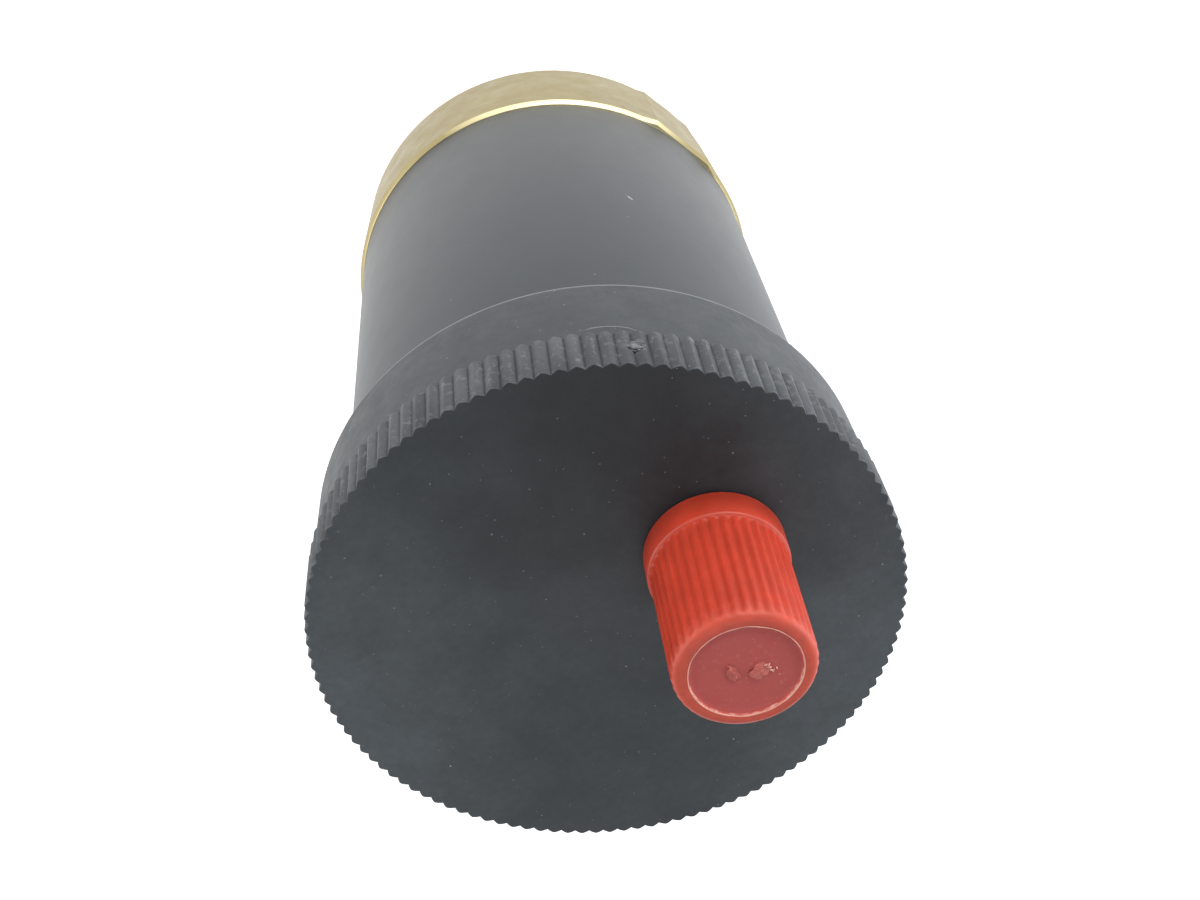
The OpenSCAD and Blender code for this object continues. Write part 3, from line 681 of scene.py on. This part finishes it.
def makeFoot(shape):
    bm = bmesh.new()
    low = shape["collarLow"]
    spinProfile(bm, [
        (shape["boreR"], 0.0, 0.25),
        (shape["threadRootR"] - 0.55, 0.0, 0.1),
        (shape["threadRootR"], 0.7, 0.1),
        (shape["threadRootR"], shape["recessTop"], 0.0),
        (shape["recessR"], shape["recessTop"], 0.0),
        (shape["recessR"], low, 0.12),
        (shape["footR"] - 0.02, low, 0.5),
        (shape["collarR"], ledgeZ - shape["bevelHeight"], 0.06),
        (shape["bevelR"], ledgeZ, 0.06),
        (shape["neckR"], ledgeZ, 0.0),
        (shape["neckR"], shape["grooveLow"], 0.0),
        (shape["grooveR"], shape["grooveLow"], 0.0),
        (shape["grooveR"], shape["grooveHigh"], 0.0),
        (shape["neckR"], shape["grooveHigh"], 0.0),
        (shape["neckR"], shape["neckTop"], 0.5),
        (shape["cupR"], shape["neckTop"], 0.15),
        (shape["cupR"], ledgeZ - 4.0, 0.4),
        (shape["boreR"], low + 3.0, 0.4),
    ], segments=8)
    foot = newObject(bm, "brassFoot")
    lugs = [makeLug(shape, side) for side in (0, 180)]
    cutAway(foot, lugs, "UNION")
    for lug in lugs:
        bpy.data.objects.remove(lug)
    finishPiece(foot, "housing", "brass", ["base_fitting"], angle=13)
    bm = bmesh.new()
    addThread(
        bm, shape["threadRootR"], shape["threadR"], shape["threadPitch"], 1.1, shape["recessTop"] - 0.9)
    finishPiece(newObject(bm, "spigotThread"), "housing", "brass", angle=40)


makeFoot(footShape)


# housing tube with the cover's thread on its neck

tubeShape = {
    "boreR": 18.4,
    "footR": 20.55,
    "topR": 20.9,
    "shoulderZ": 65.8,
    "neckR": 19.45,
    "threadR": 20.22,
    "threadPitch": 2.0,
}


def makeTube(shape):
    bm = bmesh.new()
    spinProfile(bm, [
        (shape["boreR"] + 0.4, ledgeZ, 0.0),
        (shape["footR"], ledgeZ, 0.16),
        (shape["topR"], shape["shoulderZ"], 0.2),
        (shape["neckR"], shape["shoulderZ"] + 0.5, 0.2),
        (shape["neckR"], rimZ, 0.35),
        (shape["boreR"], rimZ, 0.2),
        (shape["boreR"], ledgeZ + 0.4, 0.0),
    ])
    finishPiece(newObject(bm, "housingTube"), "housing", "housing_plastic", ["housing"])
    bm = bmesh.new()
    addThread(
        bm, shape["neckR"], shape["threadR"], shape["threadPitch"], shape["shoulderZ"] + 1.7, rimZ - 0.9, 72)
    finishPiece(newObject(bm, "housingThread"), "housing", "housing_plastic", angle=40)


makeTube(tubeShape)


# screw cover with the knurled rim

coverShape = {
    "ridges": 120,
    "stepsPerRidge": 12,
    "tipR": 23.5,
    "depth": 0.34,
    "knurlLow": 73.3,
    "skirtR": 23.16,
    "edgeR": 22.98,
    "mouthR": 21.25,
    "mouthTop": 66.6,
    "threadBoreR": 20.35,
    "underZ": 74.5,
}
ventShape = {
    "nozzleR": 2.6,
    "nozzleTop": 77.0,
    "passageR": 1.25,
    "screwY": 7.6,
    "screwR": 1.1,
    "screwTop": 77.1,
    "nippleR": 3.3,
    "threadR": 3.84,
    "threadPitch": 1.5,
    "slotFloor": 2.4,
    "slotWidth": 1.0,
}


def ridgeValley(phase):
    return abs(2 * phase - 1) ** 1.45


def makeVentCutters(shape, underZ):
    bm = bmesh.new()
    addRow(bm, [
        (shape["nozzleR"], underZ - 1, 0),
        (shape["nozzleR"], shape["nozzleTop"], 0),
        (shape["passageR"], shape["nozzleTop"] + 0.01, 0),
        (shape["passageR"], faceZ + nippleHeight + 1, 0),
    ], 48)
    bmesh.ops.translate(bm, vec=(ventX, 0, 0), verts=bm.verts)
    passage = newObject(bm, "cutPassage")
    screws = []
    for side in (-1, 1):
        bm = bmesh.new()
        addRow(bm, [(shape["screwR"], underZ - 1, 0), (shape["screwR"], shape["screwTop"], 0)], 32)
        bmesh.ops.translate(bm, vec=(ventX, side * shape["screwY"], 0), verts=bm.verts)
        screws.append(newObject(bm, "cutScrew"))
    bm = bmesh.new()
    bmesh.ops.create_cube(bm, size=1.0)
    bmesh.ops.scale(bm, vec=(2.0, shape["slotWidth"], nippleHeight), verts=bm.verts)
    bmesh.ops.translate(
        bm, vec=(ventX + shape["slotFloor"] + 1.0, 0, faceZ + 1 + nippleHeight / 2), verts=bm.verts)
    slot = newObject(bm, "cutSlot")
    return passage, screws, slot


def makeCover(shape, vent):
    tip, depth, low = shape["tipR"], shape["depth"], shape["knurlLow"]
    bm = bmesh.new()
    rows = [
        (21.6, faceZ, 0),
        (22.6, faceZ, 0),
        (tip - 0.1, faceZ, depth - 0.04),
        (tip - 0.03, faceZ - 0.03, depth - 0.01),
        (tip, faceZ - 0.13, depth),
        (tip, faceZ - 2.0, depth),
        (tip, low + 0.14, depth),
        (tip - 0.03, low + 0.04, depth - 0.03),
        (tip - 0.12, low, depth - 0.11),
        (shape["skirtR"], low - 0.02, 0),
        (shape["skirtR"] - 0.002, low - 0.06, 0),
        (shape["edgeR"] + 0.03, edgeZ + 0.32, 0),
        (shape["edgeR"] - 0.01, edgeZ + 0.14, 0),
        (shape["edgeR"] - 0.1, edgeZ + 0.03, 0),
        (shape["edgeR"] - 0.24, edgeZ, 0),
        (shape["mouthR"] + 0.3, edgeZ, 0),
        (shape["mouthR"] + 0.08, edgeZ + 0.08, 0),
        (shape["mouthR"], edgeZ + 0.3, 0),
        (shape["mouthR"], shape["mouthTop"], 0),
        (shape["threadBoreR"], shape["mouthTop"] + 0.9, 0),
        (shape["threadBoreR"], shape["underZ"] - 0.2, 0),
        (shape["threadBoreR"] - 0.2, shape["underZ"], 0),
        (18.0, shape["underZ"], 0),
    ]
    addRow(bm, rows, shape["ridges"] * shape["stepsPerRidge"], shape["ridges"], ridgeValley)
    cover = newObject(bm, "coverShell")
    bm = bmesh.new()
    top = faceZ + nippleHeight
    addRow(bm, [
        (vent["nippleR"] + 0.25, faceZ - 0.6, 0),
        (vent["nippleR"] + 0.25, faceZ, 0),
        (vent["nippleR"] + 0.07, faceZ + 0.07, 0),
        (vent["nippleR"], faceZ + 0.3, 0),
        (vent["nippleR"], top - 0.6, 0),
        (vent["nippleR"] - 0.5, top - 0.06, 0),
        (vent["nippleR"] - 0.7, top, 0),
    ], 64)
    bmesh.ops.translate(bm, vec=(ventX, 0, 0), verts=bm.verts)
    nipple = newObject(bm, "ventNipple")
    bm = bmesh.new()
    addThread(bm, vent["nippleR"], vent["threadR"], vent["threadPitch"], faceZ + 1.7, top - 1.0)
    bmesh.ops.translate(bm, vec=(ventX, 0, 0), verts=bm.verts)
    thread = newObject(bm, "nippleThread")
    passage, screws, slot = makeVentCutters(vent, shape["underZ"])
    cutAway(cover, [passage] + screws)
    cutAway(nipple, [passage, slot])
    cutAway(thread, [slot])
    for cutter in [passage, slot] + screws:
        bpy.data.objects.remove(cutter)
    finishPiece(cover, "cover", "cover_plastic", ["cover"], angle=24)
    finishPiece(nipple, "cover", "cover_plastic")
    finishPiece(thread, "cover", "cover_plastic", angle=40)


makeCover(coverShape, ventShape)


# red vent cap

capShape = {
    "flutes": 40,
    "stepsPerFlute": 8,
    "collarR": 5.45,
    "collarHeight": 2.7,
    "gripR": 5.25,
    "tipR": 5.175,
    "depth": 0.19,
    "discR": 4.0,
    "sink": 0.25,
    "rounding": 0.7,
    "boreR": 3.95,
    "boreDepth": 8.82,
}


def fluteValley(phase):
    return (0.5 + 0.5 * math.cos(math.tau * phase)) ** 1.15


def makeCap(shape):
    bm = bmesh.new()
    foot, top = capLow.z, capHigh.z
    grip = foot + shape["collarHeight"]
    depth = shape["depth"]
    collar, gripR, tipR, disc = shape["collarR"], shape["gripR"], shape["tipR"], shape["discR"]
    rounding = shape["rounding"]
    rows = [
        (shape["boreR"] - 0.3, foot + shape["boreDepth"], 0),
        (shape["boreR"], foot + shape["boreDepth"], 0),
        (shape["boreR"], foot + 0.25, 0),
        (shape["boreR"] + 0.25, foot, 0),
        (collar - 0.22, foot, 0),
        (collar - 0.06, foot + 0.05, 0),
        (collar, foot + 0.2, 0),
        (collar, grip - 0.2, 0),
        (collar - 0.04, grip - 0.07, 0),
        (collar - 0.12, grip - 0.01, 0),
        (gripR + 0.04, grip, 0),
        (gripR + 0.01, grip + 0.03, 0.02),
        (gripR, grip + 0.1, depth * 0.45),
        (gripR, grip + 0.25, depth * 0.85),
        (gripR - 0.005, grip + 0.5, depth),
        ((gripR + tipR) / 2, (grip + top) / 2, depth),
        (tipR, top - rounding - 0.2, depth),
    ]
    for part, share in ((0.0, 0.85), (0.14, 0.6), (0.28, 0.25), (0.4, 0.04), (0.55, 0), (0.7, 0), (0.85, 0), (1.0, 0)):
        bend = part * math.pi / 2
        rows.append((
            tipR - rounding * (1 - math.cos(bend)), top - rounding * (1 - math.sin(bend)), depth * share))
    rows += [
        (disc + 0.14, top, 0),
        (disc + 0.04, top - 0.04, 0),
        (disc, top - 0.14, 0),
        (disc - 0.02, top - shape["sink"] + 0.05, 0),
        (disc - 0.1, top - shape["sink"], 0),
        (disc - 0.5, top - shape["sink"], 0),
    ]
    addRow(bm, rows, shape["flutes"] * shape["stepsPerFlute"], shape["flutes"], fluteValley)
    bmesh.ops.translate(bm, vec=(ventX, 0, 0), verts=bm.verts)
    finishPiece(newObject(bm, "redCap"), "vent_cap", "red_plastic", ["vent_cap"], angle=50)


makeCap(capShape)


# traces of moulding: the gate's scar on the knurl, a witness line below it and the cap's gate mark

scarShape = {"turn": 44.7, "radius": 23.36, "height": 75.55, "size": (0.2, 0.8, 0.62)}
witnessShape = {
    "turns": (54.6, 53.0, 51.0, 49.0, 47.0, 45.0, 43.4, 42.4),
    "heights": (72.85, 72.48, 72.24, 72.14, 72.2, 72.42, 72.85, 73.4),
    "sizes": (0.1, 0.6, 1.0, 0.8, 1.0, 0.9, 0.7, 0.1),
    "bead": 0.065,
}
gateShape = {
    "lumps": (
        {"place": (-0.8, 0.45), "turn": 75, "size": (0.75, 0.36, 0.18)},
        {"place": (0.62, -0.75), "turn": 20, "size": (0.78, 0.58, 0.22)},
    ),
    "crumbFrom": (1.3, -0.6),
    "crumbTo": (1.55, -1.75),
    "crumbs": 8,
    "crumbStray": 0.35,
    "crumbR": 0.13,
}
paleRed = makePlain("paleRed", (0.70, 0.30, 0.23, 1), (0.86, 0.52, 0.42, 1), 0.45, 0.6, {}, bump=0.4)
flashShape = {"count": 72, "bead": 0.06, "outside": 0.07, "below": 0.03, "wander": 0.05}


def roughen(bm, scale, amount):
    for vert in bm.verts:
        vert.co += noise.noise_vector(vert.co * scale) * amount


def makeScar(shape):
    bm = bmesh.new()
    bmesh.ops.create_icosphere(bm, subdivisions=4, radius=1.0)
    roughen(bm, 1.7, 0.35)
    roughen(bm, 5.0, 0.22)
    bmesh.ops.scale(bm, vec=shape["size"], verts=bm.verts)
    bmesh.ops.translate(bm, vec=(shape["radius"], 0, shape["height"]), verts=bm.verts)
    spin = Matrix.Rotation(math.radians(shape["turn"]), 3, "Z")
    bmesh.ops.rotate(bm, cent=(0, 0, 0), matrix=spin, verts=bm.verts)
    finishPiece(newObject(bm, "gateScar"), "cover", "cover_plastic", angle=70)


def makeBead(name, places, sizes, bead, closed=False):
    # a round bead along a line of places, made a mesh
    curve = bpy.data.curves.new(name + "Curve", "CURVE")
    curve.dimensions = "3D"
    curve.bevel_depth = bead
    curve.bevel_resolution = 2
    curve.use_fill_caps = True
    spline = curve.splines.new("POLY")
    spline.use_cyclic_u = closed
    spline.points.add(len(places) - 1)
    for point, place, size in zip(spline.points, places, sizes):
        point.co = (*place, 1)
        point.radius = size
    holder = bpy.data.objects.new(name + "Curve", curve)
    scene.collection.objects.link(holder)
    bpy.context.view_layer.update()
    swept = bpy.data.meshes.new_from_object(holder.evaluated_get(bpy.context.evaluated_depsgraph_get()))
    bpy.data.objects.remove(holder)
    bm = bmesh.new()
    bm.from_mesh(swept)
    bpy.data.meshes.remove(swept)
    return newObject(bm, name)


def makeWitness(shape, cover):
    slope = (cover["skirtR"] - cover["edgeR"]) / (cover["knurlLow"] - edgeZ)
    places = []
    for turn, height in zip(shape["turns"], shape["heights"]):
        radius = cover["skirtR"] - slope * max(0.0, cover["knurlLow"] - height) - 0.03
        angle = math.radians(turn)
        places.append((radius * math.cos(angle), radius * math.sin(angle), height))
    rubbed = makePlain(
        "rubbedPlastic", (0.13, 0.135, 0.14, 1), (0.25, 0.25, 0.26, 1), 0.5, 0.65, {}, bump=0.4)
    line = makeBead("witnessLine", places, shape["sizes"], shape["bead"])
    finishPiece(line, "cover", "cover_plastic", angle=60, material=rubbed)


def addLump(bm, place, size, turn, coarse):
    # a torn lump: a ball roughened on two scales, flattened and set down
    verts = bmesh.ops.create_icosphere(bm, subdivisions=coarse, radius=1.0)["verts"]
    seed = Vector((place[0] * 7.0, place[1] * 7.0, 0.0))
    for vert in verts:
        ball = vert.co.copy()
        vert.co += noise.noise_vector(ball * 1.6 + seed) * 0.4 + noise.noise_vector(ball * 4.5 + seed) * 0.22
    bmesh.ops.scale(bm, vec=size, verts=verts)
    bmesh.ops.rotate(bm, cent=(0, 0, 0), matrix=Matrix.Rotation(turn, 3, "Z"), verts=verts)
    bmesh.ops.translate(bm, vec=place, verts=verts)


def makeGateMark(shape, cap):
    base = capHigh.z - cap["sink"]
    bm = bmesh.new()
    for lump in shape["lumps"]:
        x, y = lump["place"]
        addLump(bm, (ventX + x, y, base), lump["size"], math.radians(lump["turn"]), 4)
    scuffed = makePlain(
        "scuffedRed", (0.46, 0.085, 0.07, 1), (0.62, 0.17, 0.13, 1), 0.4, 0.6, {}, bump=0.5)
    finishPiece(newObject(bm, "capGateMark"), "vent_cap", "red_plastic", angle=60, material=scuffed)
    # crumbs along a torn streak beside the larger lump, smaller towards its end
    bm = bmesh.new()
    first, last = Vector(shape["crumbFrom"]), Vector(shape["crumbTo"])
    for number in range(shape["crumbs"]):
        share = number / (shape["crumbs"] - 1)
        stray = noise.noise_vector(Vector((number * 1.7, 3.1, 0.4))) * shape["crumbStray"] * (0.3 + share)
        place = first.lerp(last, share) + stray.xy
        size = shape["crumbR"] * (1.0 - 0.65 * share)
        addLump(bm, (ventX + place.x, place.y, base), (size * 1.5, size * 0.7, size), math.tau * stray.x, 2)
    finishPiece(newObject(bm, "capGateCrumbs"), "vent_cap", "red_plastic", angle=60, material=paleRed)


def makeFlash(shape, cap):
    # the thin torn edge round the cap's sunk disc
    places, sizes = [], []
    for number in range(shape["count"]):
        angle = math.tau * number / shape["count"]
        aim = Vector((math.cos(angle), math.sin(angle), 0.0))
        radius = cap["discR"] + shape["outside"] + shape["wander"] * noise.noise(aim * 3.1)
        places.append((ventX + radius * aim.x, radius * aim.y, capHigh.z - shape["below"]))
        sizes.append(0.75 + 0.5 * noise.noise(aim * 5.3 + Vector((4.0, 0.0, 0.0))))
    ring = makeBead("capFlash", places, sizes, shape["bead"], closed=True)
    finishPiece(ring, "vent_cap", "red_plastic", angle=60, material=paleRed)


makeScar(scarShape)
makeWitness(witnessShape, coverShape)
makeGateMark(gateShape, capShape)
makeFlash(flashShape, capShape)


# torsion spring on the lever's pin

springShape = {
    "pivot": (14.5, 0.0, 70.7),
    "wireR": 0.17,
    "coilR": 1.39,
    "coilY": 2.1,
    "turns": 2.75,
    "pitch": 0.38,
    "steps": 88,
    "armLength": 3.2,
    "armAngle": 19.03,
    "frameArm": 2.9,
}


def makeSpring(shape):
    # an arm on the lever, the coil about the pin and an arm up to the frame; it twists along the coil
    radius, low = shape["coilR"], shape["coilY"]
    high = low + shape["turns"] * shape["pitch"]
    lift = math.radians(shape["armAngle"])
    places = []
    for reach in (shape["armLength"], shape["armLength"] / 2):
        places.append(Vector((
            -reach * math.cos(lift) - radius * math.sin(lift), low,
            radius * math.cos(lift) - reach * math.sin(lift))))
    for step in range(shape["steps"] + 1):
        share = step / shape["steps"]
        turn = math.pi / 2 + lift - share * (shape["turns"] * math.tau + lift)
        places.append(Vector((radius * math.cos(turn), low + share * (high - low), radius * math.sin(turn))))
    end = places[-1]
    places += [end + Vector((0, 0, rise)) for rise in (1.0, shape["frameArm"])]
    pivot = Vector(shape["pivot"])
    places = [pivot + place for place in places]
    spring = makeBead("leverSpring", places, [1.0] * len(places), shape["wireR"])
    finishPiece(spring, None, "pin_steel", ["lever_spring"], angle=60)
    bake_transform(spring)


makeSpring(springShape)
print("pieces made")


# floor, world and lights

stageSetup = {
    "floorSize": 6.0,
    "floorColour": (0.80, 0.80, 0.80, 1),
    "floorGlow": 0.76,
    "glowNear": 0.3,
    "glowFar": 1.1,
    "ambient": 0.16,
}


def seenDirectly(tree):
    # 1 for camera, glossy and transmission rays, so that gloss shows the white background too
    path = put(tree, "LightPath").outputs
    first = mathOut(tree, "MAXIMUM", path["Is Camera Ray"], path["Is Glossy Ray"])
    return mathOut(tree, "MAXIMUM", first, path["Is Transmission Ray"])


def makeStage(setup):
    bm = bmesh.new()
    bmesh.ops.create_grid(bm, x_segments=1, y_segments=1, size=setup["floorSize"] / 2)
    bmesh.ops.translate(bm, vec=(0, 0, -0.00005), verts=bm.verts)
    mesh = bpy.data.meshes.new("floor")
    bm.to_mesh(mesh)
    bm.free()
    floor = bpy.data.objects.new("floor", mesh)
    scene.collection.objects.link(floor)
    material = bpy.data.materials.new("paleFloor")
    material.use_nodes = True
    tree = material.node_tree
    tree.nodes.clear()
    matte = put(tree, "BsdfDiffuse", {"Color": setup["floorColour"]})
    place = put(tree, "TexCoord").outputs["Object"]
    away = put(tree, "VectorMath", {0: place}, operation="LENGTH").outputs["Value"]
    level = rangeOut(tree, away, setup["glowNear"], setup["glowFar"], setup["floorGlow"], 1.0)
    strength = mathOut(tree, "MULTIPLY", seenDirectly(tree), level)
    glow = put(tree, "Emission", {"Color": (1, 1, 1, 1), "Strength": strength})
    both = put(tree, "AddShader", {0: matte.outputs[0], 1: glow.outputs[0]})
    put(tree, "OutputMaterial", {"Surface": both.outputs[0]})
    mesh.materials.append(material)
    world = bpy.data.worlds.new("studio")
    scene.world = world
    world.use_nodes = True
    tree = world.node_tree
    sky = tree.nodes["Background"]
    sky.inputs["Color"].default_value = (1, 1, 1, 1)
    level = rangeOut(tree, seenDirectly(tree), 0.0, 1.0, setup["ambient"], 1.0)
    tree.links.new(level, sky.inputs["Strength"])


makeStage(stageSetup)

# turn and rise in degrees about the middle of the valve, distance and size in metres, power in watts
lampSetup = {
    "keyLamp": {"turn": 34, "rise": 13, "distance": 0.62, "size": (0.5, 0.26), "power": 3.3},
    "leftLamp": {"turn": 140, "rise": 16, "distance": 0.6, "size": (0.35, 0.4), "power": 2.2},
    "rightLamp": {
        "turn": -42, "rise": 16, "distance": 0.6, "size": (0.35, 0.4), "power": 2.35, "colour": (0.86, 0.93, 1.0)},
    "topLamp": {"turn": 230, "rise": 70, "distance": 0.7, "size": (0.5, 0.5), "power": 0.7},
}


def makeLamps(setup):
    middle = Vector((0, 0, 0.05))
    for name, lamp in setup.items():
        data = bpy.data.lights.new(name, "AREA")
        data.shape = "RECTANGLE"
        data.size, data.size_y = lamp["size"]
        data.energy = lamp["power"]
        data.color = lamp.get("colour", (1, 1, 1))
        turn, rise = math.radians(lamp["turn"]), math.radians(lamp["rise"])
        outward = Vector((math.cos(turn) * math.cos(rise), math.sin(turn) * math.cos(rise), math.sin(rise)))
        thing = bpy.data.objects.new(name, data)
        place = middle + outward * lamp["distance"]
        thing.matrix_world = Matrix.Translation(place) @ (-outward).to_track_quat("-Z", "Y").to_matrix().to_4x4()
        scene.collection.objects.link(thing)


makeLamps(lampSetup)
scene.view_settings.view_transform = "Standard"
print("stage and lamps set")
